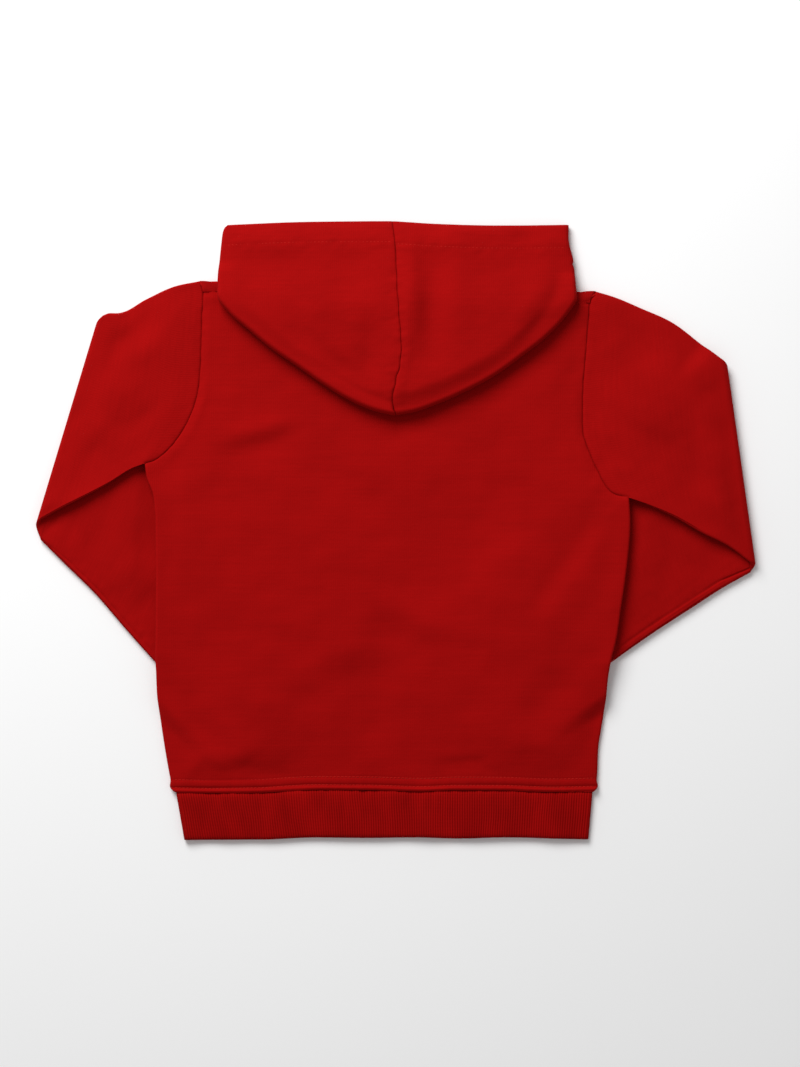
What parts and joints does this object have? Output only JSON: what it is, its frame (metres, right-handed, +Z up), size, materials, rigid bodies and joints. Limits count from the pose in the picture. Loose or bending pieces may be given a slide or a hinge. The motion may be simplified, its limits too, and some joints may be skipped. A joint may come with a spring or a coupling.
{
  "type": "hooded sweatshirt",
  "caption": "Child's pullover hoodie laid face down and flat: hood laid back on the shoulders, sleeves folded under, ribbed waistband.",
  "frame": {"origin": "under the middle of the garment, on the surface it lies on", "axes": "+X to the wearer's right across the sleeves, +Y from the waistband to the hood, +Z up out of the back"},
  "size_m": [0.5702, 0.495, 0.0141],
  "materials": {
    "front": "matte brushed-back sweatshirt jersey",
    "back": "matte brushed-back sweatshirt jersey",
    "sleeve_left": "matte brushed-back sweatshirt jersey",
    "sleeve_right": "matte brushed-back sweatshirt jersey",
    "cuff_left": "matte rib knit",
    "cuff_right": "matte rib knit",
    "hood_left": "matte brushed-back sweatshirt jersey",
    "hood_right": "matte brushed-back sweatshirt jersey",
    "hood_hidden_folds": "matte brushed-back sweatshirt jersey",
    "waistband": "matte rib knit"
  },
  "bodies": {
    "root": {"front": "front", "back": "back", "sleeve_left": "sleeve_left", "sleeve_right": "sleeve_right", "cuff_left": "cuff_left", "cuff_right": "cuff_right", "hood_left": "hood_left", "hood_right": "hood_right", "hood_hidden_folds": "hood_hidden_folds", "waistband": "waistband"}
  },
  "joints": []
}
